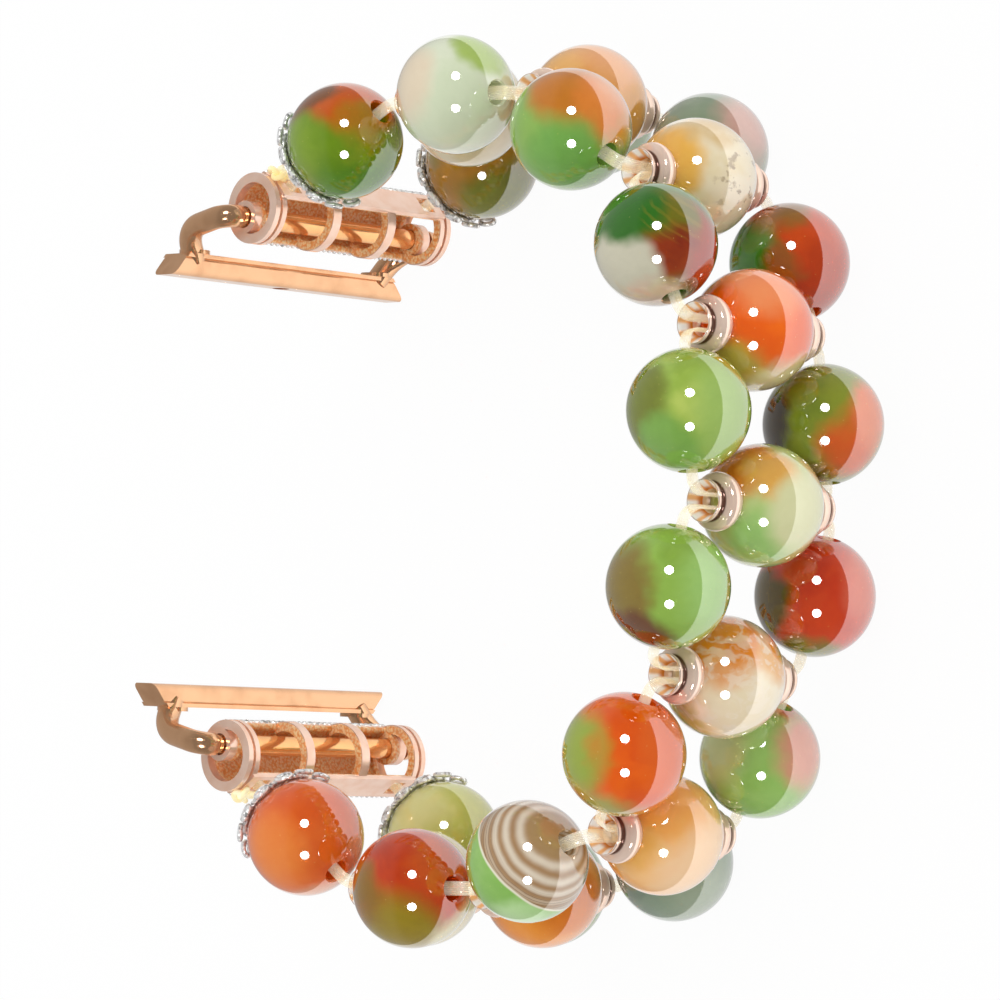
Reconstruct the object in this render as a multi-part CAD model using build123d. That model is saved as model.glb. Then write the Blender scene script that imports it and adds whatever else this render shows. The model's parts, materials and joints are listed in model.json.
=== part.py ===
from build123d import *
import math
import os

# Bead band: two edge rows of agate beads strung along the band, cross beads with
# rondelles between them, and cast end pieces with slide-in adapters.
# The band lies on its edge. Z runs across the band, X from its open side to the far side.
# All lengths are millimetres and all angles degrees.

# Beads and rondelles
BEAD_D = 10.0
BORE_D = 2.0
BORE_CHAMFER = 0.15
RONDELLE_D = 4.8
RONDELLE_THICK = 2.5
RONDELLE_LIP = 0.1
SEAT_GAP = 0.05
BEAD_GAP = 0.11

# How far an edge bead's centre stands outside the rondelle's centre in the narrowest link
ROW_RISE = 2.3

# Elastic cord: one closed ring in each link, two rings side by side in each cross bead
CORD_D = 0.8
CORD_OFFSET = 0.52
CORD_BEND = 1.3
CORD_HAIRPIN = 0.8

# Bead caps
CAP_THICK = 0.45
CAP_GAP = 0.12
CAP_POLAR = 52.0
CAP_PETALS = 6
CAP_SCALLOP_D = 1.8
CAP_PIERCE_D = 1.3
CAP_PIERCE_SHARE = 0.58
CAP_HOLE_D = 1.8
END_BEAD_GAP = 2.19

# Cast end piece
CAGE_D = 6.2
CAGE_WALL = 0.55
DISC_THICK = 1.3
DISC_GROOVE = 0.3
DISC_FACE = 0.5
DISC_RIM = 0.85
WEB = 0.46
HOOP_WIDTH = 0.95
HOOP_THICK = 0.85
HOOP_SPACING = 6.6
BAR_WIDTH = 2.7
BAR_THICK = 0.5
WINDOW_WIDTH = 1.7
CORD_PLAY = 0.12
TRIM_D = 0.75
EYELET_OFFSET = 1.25
EYELET_D = 2.9
BAR_ANGLE = 5.0
PLATE_START = 45.0
PLATE_END = 195.0
HOOP_OVERLAP = 6.0

# Spring bar
BARREL_D = 1.8
BARREL_BORE = 1.2
BARREL_LIP = 0.3
BARREL_RECESS = 0.8
TIP_D = 0.9
TIP_HEAD_D = 1.1
TIP_HEAD_LENGTH = 0.95
TIP_FLANGE_D = 1.6
TIP_FLANGE_THICK = 0.35
TIP_TRAVEL = 0.9
FIT = 0.05
SPRING_WIRE_D = 0.22
SPRING_TURNS = 24
SPRING_BEND_SHARE = 0.96

# Adapter
RAIL_LENGTH = 27.8
RAIL_WIDTH = 2.9
RAIL_THICK = 2.0
RAIL_ROUND = 0.6
RAIL_END_SLOPE = 38.0
STRIP_WIDTH = 3.3
STRIP_THICK = 0.35
ARM_D = 2.0
ARM_GAP = 0.75
ARM_OVER = 1.53
ARM_BACK = 6.45
ARM_DROP = 4.05
ARM_ROOT_IN = 2.9
ARM_ROOT_BACK = 5.8
ARM_KNEE_BACK = 5.1
ARM_KNEE_DROP = 1.0
ARM_KNEE_DIP = 0.3
ARM_KNEE_BEND = 2.8
ARM_TIP_BEND = 1.4
COLLAR_D = 2.7
COLLAR_THICK = 0.35
ARM_HOLE_SPARE = 0.05
DIMPLE_D = 1.5
DIMPLE_DEPTH = 0.3

# Direction of each link in plan, from the upper end piece round to the lower one
LINK_HEADINGS = [28, -2, -29, -62, -83, -104, -115, -159, -177, -214]
TOP_CAGE_HEADING = 37.0
BOTTOM_CAGE_HEADING = -49.0

# How much wider than the narrowest link each link's rows stand, as a share of the bead radius
ROW_SPREAD_SHARES = [0.036, 0.076, 0.058, 0.0, 0.008, 0.15, 0.008, 0.134, 0.008, 0.036]

# Derived sizes
BEAD_R = BEAD_D / 2
BORE_R = BORE_D / 2
CORD_R = CORD_D / 2
RONDELLE_R = RONDELLE_D / 2
FACE_R = math.sqrt(RONDELLE_R**2 - (RONDELLE_THICK / 2) ** 2)
MOUTH_R = FACE_R - RONDELLE_LIP
SEAT_Z = math.sqrt(BEAD_R**2 - FACE_R**2) + SEAT_GAP
RONDELLE_Z = SEAT_Z + RONDELLE_THICK / 2
LINK_REACH = math.sqrt((BEAD_R + RONDELLE_R + BEAD_GAP) ** 2 - ROW_RISE**2)
ROW_HALVES = [RONDELLE_Z + ROW_RISE + BEAD_R * share for share in ROW_SPREAD_SHARES]
LINKS = len(LINK_HEADINGS)
END_ROW = ROW_HALVES[0]
CAP_OUTER_R = BEAD_R + CAP_GAP + CAP_THICK
END_REACH = CAP_OUTER_R + END_BEAD_GAP
CAGE_R = CAGE_D / 2
CAGE_HALF = END_ROW + CORD_R + CORD_PLAY + WEB + DISC_THICK
BAR_INSET = CAGE_R - BAR_THICK / 2
EYELET_R = EYELET_D / 2
EYELET_HOLE_R = BARREL_D / 2 + FIT
BARREL_HALF = CAGE_HALF - BARREL_RECESS
ARM_R = ARM_D / 2
ARM_END = CAGE_HALF + ARM_GAP
ARM_APEX = ARM_END + ARM_OVER
TIP_HOLE_DEPTH = TIP_TRAVEL + ARM_HOLE_SPARE
OVERRUN = BEAD_D / 10

os.makedirs("parts", exist_ok=True)


def heading_of(angle):
    """Unit vector in plan for a direction in degrees."""
    return Vector(math.cos(math.radians(angle)), math.sin(math.radians(angle)), 0)


def turned(shape, at, angle):
    """The shape turned about Z by the angle and moved to a place in plan."""
    return Pos(at.X, at.Y, at.Z) * Rot(0, 0, angle) * shape


def agate_bead():
    """Drilled round bead with its bore along X."""
    rim_r = BORE_R + BORE_CHAMFER
    rim = math.sqrt(BEAD_R**2 - rim_r**2)
    skin = ThreePointArc((-rim, rim_r), (0, BEAD_R), (rim, rim_r))
    wall = Polyline(
        (rim, rim_r), (rim - BORE_CHAMFER, BORE_R), (BORE_CHAMFER - rim, BORE_R), (-rim, rim_r)
    )
    return revolve(make_face([skin, wall]), Axis.X)


def rondelle():
    """Ball cut flat at both ends, with a conical mouth at each, its hole along Z."""
    half = RONDELLE_THICK / 2
    belly = ThreePointArc((FACE_R, -half), (RONDELLE_R, 0), (FACE_R, half))
    throat = Polyline((FACE_R, half), (MOUTH_R, half), (BORE_R, 0), (MOUTH_R, -half), (FACE_R, -half))
    face = make_face([belly, throat])
    return revolve(Plane.XZ * face, Axis.Z)


def cord_ring(start, end, half, bend_start, bend_end):
    """Closed ring of cord in the XZ plane, from start to end along X and half high each way."""
    corners = [(start, 0, 0), (start, 0, half), (end, 0, half), (end, 0, 0)]
    bends = [bend_start, bend_end]
    line = FilletPolyline(*corners, radius=bends)
    section = Plane(origin=corners[0], z_dir=(0, 0, 1)) * Circle(CORD_R)
    upper = sweep(section, path=line)
    ring = upper + mirror(upper, about=Plane.XY)
    error = ring.volume / (2 * math.pi * CORD_R**2 * line.length) - 1
    print(f"cord ring: length {2 * line.length:.2f} mm, bends {bends}, volume off by {error:.1e}")
    return ring


def bead_cap():
    """Pierced petal cap over the side of a bead that faces away from X."""
    inner = BEAD_R + CAP_GAP
    shell = Sphere(CAP_OUTER_R) - Sphere(inner)
    depth = CAP_OUTER_R * math.cos(math.radians(CAP_POLAR))
    cutter = Pos(-depth, 0, 0) * Box(
        2 * CAP_OUTER_R, 2 * BEAD_D, 2 * BEAD_D, align=(Align.MIN, Align.CENTER, Align.CENTER)
    )
    shell -= cutter
    shell -= Rot(0, 90, 0) * Cylinder(CAP_HOLE_D / 2, 2 * BEAD_D)
    drill = Rot(0, -90, 0) * Cylinder(
        CAP_SCALLOP_D / 2, BEAD_D, align=(Align.CENTER, Align.CENTER, Align.MIN)
    )
    pierce = Rot(0, -90, 0) * Cylinder(
        CAP_PIERCE_D / 2, BEAD_D, align=(Align.CENTER, Align.CENTER, Align.MIN)
    )
    for petal in range(CAP_PETALS):
        around = 360 * petal / CAP_PETALS
        between = 360 * (petal + 1 / 2) / CAP_PETALS
        shell -= Rot(around, 0, 0) * Rot(0, CAP_POLAR, 0) * drill
        shell -= Rot(between, 0, 0) * Rot(0, CAP_POLAR * CAP_PIERCE_SHARE, 0) * pierce
    return shell


def annular_sector(inner, outer, start, end, low, high):
    """Part of a tube wall about Z, between two angles and two heights."""
    ring = Circle(outer) - Circle(inner)
    reach = 2 * outer
    middle = (start + end) / 2
    corners = [(0, 0)]
    for angle in (start, (start + middle) / 2, middle, (middle + end) / 2, end):
        spoke = heading_of(angle) * reach
        corners.append((spoke.X, spoke.Y))
    wedge = make_face(Polyline(*corners, close=True))
    return Pos(0, 0, low) * extrude(ring & wedge, high - low)


def end_disc():
    """End ring of the cage with its groove, crescent opening and eyelet, lying on Z = 0."""
    disc = extrude(Circle(CAGE_R), DISC_THICK) - extrude(Circle(CAGE_R - DISC_RIM), DISC_THICK)
    eyelet = Pos(-EYELET_OFFSET, 0) * Circle(EYELET_R)
    disc += extrude(eyelet & Circle(CAGE_R - DISC_RIM / 2), DISC_THICK)
    groove_low = DISC_THICK - DISC_FACE - DISC_GROOVE
    groove = extrude(Circle(CAGE_R + OVERRUN) - Circle(CAGE_R - DISC_GROOVE), DISC_GROOVE)
    disc -= Pos(0, 0, groove_low) * groove
    hole = Pos(-EYELET_OFFSET, 0, -OVERRUN) * Cylinder(
        EYELET_HOLE_R, DISC_THICK + 2 * OVERRUN, align=(Align.CENTER, Align.CENTER, Align.MIN)
    )
    return disc - hole


def end_piece():
    """Cast cage about Z: end discs, solid outer plate, hoops and a bead-side bar, beads along +X."""
    inner_face = CAGE_HALF - DISC_THICK
    disc = Pos(0, 0, inner_face) * end_disc()
    cage = disc + Rot(180, 0, 0) * disc
    cage += annular_sector(CAGE_R - CAGE_WALL, CAGE_R, PLATE_START, PLATE_END, -inner_face, inner_face)
    hoop_start = BAR_ANGLE - math.degrees(math.asin(BAR_WIDTH / 2 / CAGE_R))
    hoop_end = PLATE_END - 360 - HOOP_OVERLAP
    for side in (-1, 1):
        low = side * HOOP_SPACING / 2 - HOOP_WIDTH / 2
        hoop = annular_sector(
            CAGE_R - HOOP_THICK, CAGE_R, hoop_end, hoop_start + HOOP_OVERLAP, low, low + HOOP_WIDTH
        )
        cage += hoop
    bar = Pos(BAR_INSET, 0, 0) * Box(BAR_THICK, BAR_WIDTH, 2 * inner_face + 2 * WEB)
    window_low = END_ROW - CORD_HAIRPIN - CORD_PLAY
    window_high = END_ROW + CORD_R + CORD_PLAY
    window = Box(2 * BAR_THICK, WINDOW_WIDTH, window_high - window_low)
    for side in (-1, 1):
        bar -= Pos(BAR_INSET, 0, side * (window_low + window_high) / 2) * window
    cage += Rot(0, 0, BAR_ANGLE) * bar
    for angle in (PLATE_START, PLATE_END):
        ridge = Pos(CAGE_R - TRIM_D / 4, 0, 0) * Cylinder(TRIM_D / 2, 2 * inner_face + 2 * WEB)
        cage += Rot(0, 0, angle) * ridge
    return cage


def barrel():
    """Spring bar tube along Z, turned in at both ends."""
    tube = Cylinder(BARREL_D / 2, 2 * BARREL_HALF) - Cylinder(BARREL_BORE / 2, 2 * (BARREL_HALF - BARREL_LIP))
    return tube - Cylinder(TIP_D / 2 + FIT, 2 * BARREL_HALF + OVERRUN)


def tip_profile():
    """Heights of a tip's head, flange and end, in order from the middle outwards."""
    head_top = BARREL_HALF - BARREL_LIP - FIT
    flange_top = ARM_END - ARM_GAP / 3
    end = ARM_END + TIP_TRAVEL
    return head_top - TIP_HEAD_LENGTH, head_top, flange_top - TIP_FLANGE_THICK, flange_top, end


def post(radius, low, high):
    """Plain round post about Z between two heights."""
    return Pos(0, 0, low) * Cylinder(radius, high - low, align=(Align.CENTER, Align.CENTER, Align.MIN))


def tip():
    """Sliding tip of the spring bar: inner head, shaft, outer flange and pin."""
    head_low, head_top, flange_low, flange_top, end = tip_profile()
    body = post(TIP_HEAD_D / 2, head_low, head_top)
    body += post(TIP_FLANGE_D / 2, flange_low, flange_top)
    return body + post(TIP_D / 2, head_low, end)


def spring():
    """Coil of quarter-turn arcs between the two tips' heads, one unbroken wire."""
    half = tip_profile()[0] - FIT - SPRING_WIRE_D / 2
    mean = BARREL_BORE / 2 - FIT - SPRING_WIRE_D / 2
    pitch = 2 * half / SPRING_TURNS
    points = [(mean, 0, -half)]
    for corner in range(4 * SPRING_TURNS):
        along = 1 if corner % 4 in (0, 3) else -1
        across = 1 if corner % 4 in (0, 1) else -1
        points.append((along * mean, across * mean, (corner + 1 / 2) / 4 * pitch - half))
    points.append((mean, 0, half))
    line = FilletPolyline(*points, radius=mean * SPRING_BEND_SHARE)
    section = Plane(origin=line @ 0, z_dir=line % 0) * Circle(SPRING_WIRE_D / 2)
    coil = sweep(section, path=line)
    error = coil.volume / (math.pi * SPRING_WIRE_D**2 / 4 * line.length) - 1
    gap = pitch - SPRING_WIRE_D
    print(f"spring: {SPRING_TURNS} turns, gap between turns {gap:.2f} mm, volume off by {error:.1e}")
    return coil


def arm():
    """Round bent arm from the rail up and over to the spring bar's axis, at the +Z end."""
    root = (-ARM_ROOT_BACK, RAIL_THICK / 2 - ARM_DROP - OVERRUN / 2, RAIL_LENGTH / 2 - ARM_ROOT_IN)
    knee = (-ARM_KNEE_BACK, -ARM_KNEE_DROP, ARM_APEX - ARM_KNEE_DIP)
    over = (0, 0, ARM_APEX)
    end = (0, 0, ARM_END)
    line = FilletPolyline(root, knee, over, end, radius=[ARM_KNEE_BEND, ARM_TIP_BEND])
    section = Plane(origin=line @ 0, z_dir=line % 0) * Circle(ARM_R)
    bent = sweep(section, path=line)
    print(f"arm: volume off by {bent.volume / (math.pi * ARM_R**2 * line.length) - 1:.1e}")
    return bent


def adapter():
    """Rail with its cover strip, sloped ends, two arms and locking dimple, about the bar's axis."""
    rail = extrude(RectangleRounded(RAIL_WIDTH, RAIL_THICK, RAIL_ROUND), RAIL_LENGTH / 2, both=True)
    strip = Box(STRIP_WIDTH, STRIP_THICK, RAIL_LENGTH)
    rail += Pos(0, (RAIL_THICK - STRIP_THICK) / 2, 0) * strip
    slope = Rot(-RAIL_END_SLOPE, 0, 0) * Box(
        2 * STRIP_WIDTH, 4 * RAIL_THICK, 2 * RAIL_THICK, align=(Align.CENTER, Align.CENTER, Align.MIN)
    )
    upper_cut = Pos(0, -RAIL_THICK / 2, RAIL_LENGTH / 2) * slope
    rail -= upper_cut
    rail -= mirror(upper_cut, about=Plane.XY)
    rail -= Pos(0, -RAIL_THICK / 2, 0) * Rot(90, 0, 0) * Cylinder(DIMPLE_D / 2, 2 * DIMPLE_DEPTH)
    body = Pos(-ARM_BACK, -ARM_DROP, 0) * rail
    collar = Rot(-90, 0, 0) * post(COLLAR_D / 2, 0, COLLAR_THICK)
    collar = Pos(-ARM_ROOT_BACK, RAIL_THICK / 2 - ARM_DROP, RAIL_LENGTH / 2 - ARM_ROOT_IN) * collar
    bent = arm() + collar
    body += bent
    body += mirror(bent, about=Plane.XY)
    for side in (-1, 1):
        hole = post(TIP_D / 2 + FIT, ARM_END - OVERRUN, ARM_END + TIP_HOLE_DEPTH)
        if side < 0:
            hole = mirror(hole, about=Plane.XY)
        body -= hole
    return body


def chain():
    """Bead centres and pivots in plan, from the upper bar to the lower one."""
    at = Vector(0, 0, 0)
    pivots = [at]
    centres = []
    for index, angle in enumerate(LINK_HEADINGS):
        before = END_REACH if index == 0 else LINK_REACH
        after = END_REACH if index == LINKS - 1 else LINK_REACH
        centres.append(at + heading_of(angle) * before)
        at = centres[-1] + heading_of(angle) * after
        pivots.append(at)
    return centres, pivots


def build():
    """All the band's nodes in the frame of the upper bar."""
    nodes = {}
    centres, pivots = chain()
    bead = agate_bead()
    for index in range(LINKS):
        number = f"{index + 1:02d}"
        angle = LINK_HEADINGS[index]
        row = Vector(0, 0, ROW_HALVES[index])
        near = turned(bead, centres[index] + row, angle)
        far = turned(bead, centres[index] - row, angle)
        first = index == 0
        last = index == LINKS - 1
        if first or last:
            place = "top" if first else "bottom"
            nodes[f"end_beads_{place}"] = Compound(children=[near, far])
            facing = angle if first else angle + 180
            cap = bead_cap()
            caps = [turned(cap, centres[index] + row * side, facing) for side in (1, -1)]
            nodes[f"bead_caps_{place}"] = Compound(children=caps)
        else:
            nodes[f"near_bead_{number}"] = near
            nodes[f"far_bead_{number}"] = far
        plain_end = LINK_REACH - CORD_OFFSET
        hairpin_end = END_REACH + BAR_THICK / 2 + CORD_PLAY + CORD_R
        start = -hairpin_end if first else -plain_end
        end = hairpin_end if last else plain_end
        bend_start = CORD_HAIRPIN if first else CORD_BEND
        bend_end = CORD_HAIRPIN if last else CORD_BEND
        ring = cord_ring(start, end, ROW_HALVES[index], bend_start, bend_end)
        nodes[f"elastic_cord_{number}"] = turned(ring, centres[index], angle)
    upright = Rot(0, 90, 0) * bead
    ring = rondelle()
    for index in range(1, LINKS):
        number = f"{index:02d}"
        nodes[f"cross_bead_{number}"] = turned(upright, pivots[index], 0)
        pair = [turned(ring, pivots[index] + Vector(0, 0, side * RONDELLE_Z), 0) for side in (1, -1)]
        nodes[f"rondelles_{number}"] = Compound(children=pair)
    cast = end_piece()
    fork = adapter()
    for place, pivot, heading, side in (
        ("top", pivots[0], TOP_CAGE_HEADING, 1),
        ("bottom", pivots[-1], BOTTOM_CAGE_HEADING, -1),
    ):
        flip = Rot(0, 0, 0) if side > 0 else Rot(180, 0, 0)
        axis = pivot - heading_of(heading + side * BAR_ANGLE) * BAR_INSET
        eyelet = axis - heading_of(heading) * EYELET_OFFSET
        nodes[f"end_piece_{place}"] = turned(flip * cast, axis, heading)
        nodes[f"spring_bar_barrel_{place}"] = turned(barrel(), eyelet, heading)
        nodes[f"spring_bar_spring_{place}"] = turned(spring(), eyelet, heading)
        nodes[f"spring_bar_near_tip_{place}"] = turned(tip(), eyelet, heading)
        nodes[f"spring_bar_far_tip_{place}"] = turned(mirror(tip(), about=Plane.XY), eyelet, heading)
        nodes[f"case_adapter_{place}"] = turned(flip * fork, eyelet, 0)
        marks[f"cage_{place}"] = axis
        marks[f"spring_bar_{place}"] = eyelet
    for index, pivot in enumerate(pivots):
        marks[f"pivot_{index:02d}"] = pivot
    for index, centre in enumerate(centres):
        marks[f"link_{index + 1:02d}"] = centre
    return nodes


marks = {}
nodes = build()
corners = [shape.bounding_box() for shape in nodes.values()]
low = Vector(*(min(getattr(box.min, axis) for box in corners) for axis in "XYZ"))
high = Vector(*(max(getattr(box.max, axis) for box in corners) for axis in "XYZ"))
shift = Vector(-(low.X + high.X) / 2, -(low.Y + high.Y) / 2, -low.Z)
print(f"size {high.X - low.X:.3f} {high.Y - low.Y:.3f} {high.Z - low.Z:.3f}")
for name, shape in nodes.items():
    export_step(Pos(shift.X, shift.Y, shift.Z) * shape, f"parts/{name}.step")
for name, place in marks.items():
    moved = place + shift
    print(f"place {name} {moved.X:.4f} {moved.Y:.4f} {moved.Z:.4f}")
print(f"rows {' '.join(f'{half:.3f}' for half in ROW_HALVES)}")
print(f"cage half {CAGE_HALF:.3f} link reach {LINK_REACH:.3f} end reach {END_REACH:.3f} nodes {len(nodes)}")
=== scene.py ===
import json
import logging
import math
from dataclasses import dataclass
from enum import Enum
from typing import Any, Sequence

import bmesh
import bpy
from mathutils import Matrix, Vector


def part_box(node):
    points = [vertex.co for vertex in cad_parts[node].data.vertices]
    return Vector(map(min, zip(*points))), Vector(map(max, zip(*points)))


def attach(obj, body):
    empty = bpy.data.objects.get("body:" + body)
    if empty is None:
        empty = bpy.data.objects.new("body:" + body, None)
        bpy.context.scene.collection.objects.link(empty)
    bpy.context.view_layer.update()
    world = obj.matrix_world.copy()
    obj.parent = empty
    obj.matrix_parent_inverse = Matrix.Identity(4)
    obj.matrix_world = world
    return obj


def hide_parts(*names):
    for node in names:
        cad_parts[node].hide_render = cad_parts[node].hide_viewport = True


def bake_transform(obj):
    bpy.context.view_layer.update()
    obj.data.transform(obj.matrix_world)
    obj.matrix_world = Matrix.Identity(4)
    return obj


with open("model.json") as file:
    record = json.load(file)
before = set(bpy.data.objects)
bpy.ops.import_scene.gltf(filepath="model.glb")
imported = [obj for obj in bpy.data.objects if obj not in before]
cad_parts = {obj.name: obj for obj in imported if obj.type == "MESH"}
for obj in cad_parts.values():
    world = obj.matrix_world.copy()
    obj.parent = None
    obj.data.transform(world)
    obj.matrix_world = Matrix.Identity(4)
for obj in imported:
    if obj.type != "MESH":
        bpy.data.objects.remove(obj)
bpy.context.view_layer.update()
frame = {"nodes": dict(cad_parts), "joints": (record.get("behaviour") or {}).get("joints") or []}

LOG = logging.getLogger("bead_band")
MM = 0.001
FULL_TURN = 2 * math.pi
Triple = tuple[float, float, float]
Span = tuple[float, float]


def linear(colour: str) -> tuple[float, float, float, float]:
    """Turns a six-figure hex colour into linear light.

    Args:
        colour: Hex digits, two each for red, green and blue.

    Returns:
        The colour in linear light, with full alpha.
    """
    shares = [int(colour[i:i + 2], 16) / 255 for i in (0, 2, 4)]
    light = [v / 12.92 if v <= 0.04045 else ((v + 0.055) / 1.055) ** 2.4 for v in shares]
    return light[0], light[1], light[2], 1.0


def linked(name: str, data: Any) -> bpy.types.Object:
    """Makes an object of its data, in the scene's own collection.

    Args:
        name: The object's name.
        data: Mesh, camera or lamp that it shows.

    Returns:
        The object.
    """
    made = bpy.data.objects.new(name, data)
    bpy.context.scene.collection.objects.link(made)
    return made


def level(angle: float) -> Vector:
    """Level unit vector at an angle, in radians, from the X axis."""
    return Vector((math.cos(angle), math.sin(angle), 0))


def upright(height: float) -> Vector:
    """Vector of a height along the Z axis."""
    return Vector((0, 0, height))


class Value:
    """A number socket that Python expressions combine through Math nodes."""

    def __init__(self, book: "NodeBook", socket: bpy.types.NodeSocket) -> None:
        """Keeps the socket and the tree that it is in."""
        self.book = book
        self.socket = socket

    def _math(self, operation: str, first: Any, second: Any) -> "Value":
        """Adds one Math node for two operands."""
        return self.book.make("ShaderNodeMath", {"operation": operation}, {0: first, 1: second})

    def __add__(self, other: Any) -> "Value":
        """Sum."""
        return self._math("ADD", self, other)

    def __sub__(self, other: Any) -> "Value":
        """Difference."""
        return self._math("SUBTRACT", self, other)

    def __rsub__(self, other: Any) -> "Value":
        """Difference with the number first."""
        return self._math("SUBTRACT", other, self)

    def __mul__(self, other: Any) -> "Value":
        """Product."""
        return self._math("MULTIPLY", self, other)

    def __truediv__(self, other: Any) -> "Value":
        """Quotient."""
        return self._math("DIVIDE", self, other)

    __radd__, __rmul__ = __add__, __mul__

    def sine(self) -> "Value":
        """Sine of the value in radians."""
        return self._math("SINE", self, 0.0)

    def cosine(self) -> "Value":
        """Cosine of the value in radians."""
        return self._math("COSINE", self, 0.0)

    def larger(self, other: Any) -> "Value":
        """The larger of two values."""
        return self._math("MAXIMUM", self, other)

    def clear_of(self, low: float, high: float, smooth: bool = True) -> "Value":
        """Rises from 0 at low to 1 at high.

        Args:
            low: Value that gives 0.
            high: Value that gives 1.
            smooth: Whether the rise is eased at both ends.

        Returns:
            The share between them.
        """
        kind = "SMOOTHSTEP" if smooth else "LINEAR"
        return self.book.make("ShaderNodeMapRange", {"interpolation_type": kind}, {0: self, 1: low, 2: high})


class NodeBook:
    """Node-making for one tree, of a material, the world or Geometry Nodes."""

    def __init__(self, tree: bpy.types.NodeTree) -> None:
        """Starts on an emptied tree."""
        self.tree = tree
        tree.nodes.clear()

    def make(self, kind: str, settings: dict[str, Any], inputs: dict[Any, Any], output: Any = 0) -> Value:
        """Adds a node, sets it up and links it.

        Args:
            kind: The node's type.
            settings: Properties of the node, set first.
            inputs: Values or links of its sockets, by name or number.
            output: Which output socket the result wraps.

        Returns:
            The output socket, ready for expressions.
        """
        node = self.tree.nodes.new(kind)
        for key, value in settings.items():
            setattr(node, key, value)
        for key, value in inputs.items():
            if isinstance(value, Value):
                self.tree.links.new(value.socket, node.inputs[key])
            else:
                node.inputs[key].default_value = value
        return Value(self, node.outputs[output] if len(node.outputs) else None)

    def vector(self, operation: str, first: Any, second: Any, output: int = 0) -> Value:
        """Vector Math of two vectors: its vector, or its number as output 1."""
        return self.make("ShaderNodeVectorMath", {"operation": operation}, {0: first, 1: second}, output)

    def dot(self, first: Any, second: Any) -> Value:
        """Dot product of two vectors."""
        return self.vector("DOT_PRODUCT", first, second, 1)

    def scaled(self, vector: Any, scale: Any) -> Value:
        """A vector times a number."""
        return self.make("ShaderNodeVectorMath", {"operation": "SCALE"}, {0: vector, 3: scale})

    def moved(self, point: Any, way: Any, share: Any) -> Value:
        """A point moved along a vector by a share of it."""
        return self.vector("ADD", point, self.scaled(way, share))

    def round_axis(self, point: Any) -> tuple[Value, Value, Value]:
        """Splits a point about the upright axis.

        Args:
            point: The point, measured from the axis.

        Returns:
            Its level part, its distance from the axis, and its height.
        """
        flat = self.vector("MULTIPLY", point, (1, 1, 0))
        out = self.make("ShaderNodeVectorMath", {"operation": "LENGTH"}, {0: flat}, 1)
        return flat, out, self.dot(point, (0, 0, 1))

    def mix(self, share: Any, first: Any, second: Any, blend: str = "MIX") -> Value:
        """Mixes two colours.

        Args:
            share: How much of the second one shows.
            first: Colour as hex text or a link.
            second: Colour as hex text or a link.
            blend: Way of blending.

        Returns:
            The mixed colour.
        """
        below, above = (linear(side) if isinstance(side, str) else side for side in (first, second))
        settings = {"data_type": "RGBA", "blend_type": blend}
        return self.make("ShaderNodeMix", settings, {0: share, 6: below, 7: above}, 2)

    def noise(self, point: Any, scale: float, detail: float = 2.0, output: int = 0) -> Value:
        """Noise at a point: its value, or its colour as output 1."""
        return self.make("ShaderNodeTexNoise", {}, {"Vector": point, "Scale": scale, "Detail": detail}, output)

    def cells(self, point: Any, scale: float) -> Value:
        """Distance from the middle of the nearest Voronoi cell."""
        return self.make("ShaderNodeTexVoronoi", {"feature": "F1"}, {"Vector": point, "Scale": scale})


@dataclass(frozen=True)
class StudioCamera:
    """Camera at the photograph's viewing angle."""

    azimuth: float = -3.56
    elevation: float = 45.39
    roll: float = 2.17
    focal_px: float = 4638.0
    frame_px: float = 1000.0
    sensor: float = 36.0
    distance: float = 393.4 * MM
    aim: Triple = (-2.0 * MM, -0.23 * MM, 13.911 * MM)
    clip: Span = (0.01, 10.0)

    def axes(self) -> tuple[Vector, Vector, Vector]:
        """The picture's own directions.

        Returns:
            Right, up and towards the camera, as unit vectors of the band's frame.
        """
        a, e, r = (math.radians(v) for v in (self.azimuth, self.elevation, self.roll))
        toward = Vector((math.cos(e) * math.cos(a), math.cos(e) * math.sin(a), math.sin(e)))
        right = (-toward).cross(Vector((0, 1, 0))).normalized()
        up = right.cross(-toward)
        return math.cos(r) * right + math.sin(r) * up, math.cos(r) * up - math.sin(r) * right, toward

    def direction(self, x: float, y: float, z: float) -> Vector:
        """Unit vector of the band's frame for picture right, picture up and towards the camera."""
        right, up, toward = self.axes()
        return (x * right + y * up + z * toward).normalized()

    def build(self) -> None:
        """Places the camera and makes it the scene's own."""
        right, up, toward = self.axes()
        data = bpy.data.cameras.new("camera")
        data.sensor_width = self.sensor
        data.lens = self.focal_px / self.frame_px * self.sensor
        data.clip_start, data.clip_end = self.clip
        camera = linked("camera", data)
        place = Matrix((right, up, toward)).transposed().to_4x4()
        place.translation = Vector(self.aim) + self.distance * toward
        camera.matrix_world = place
        bpy.context.scene.camera = camera


CAMERA = StudioCamera()


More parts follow.
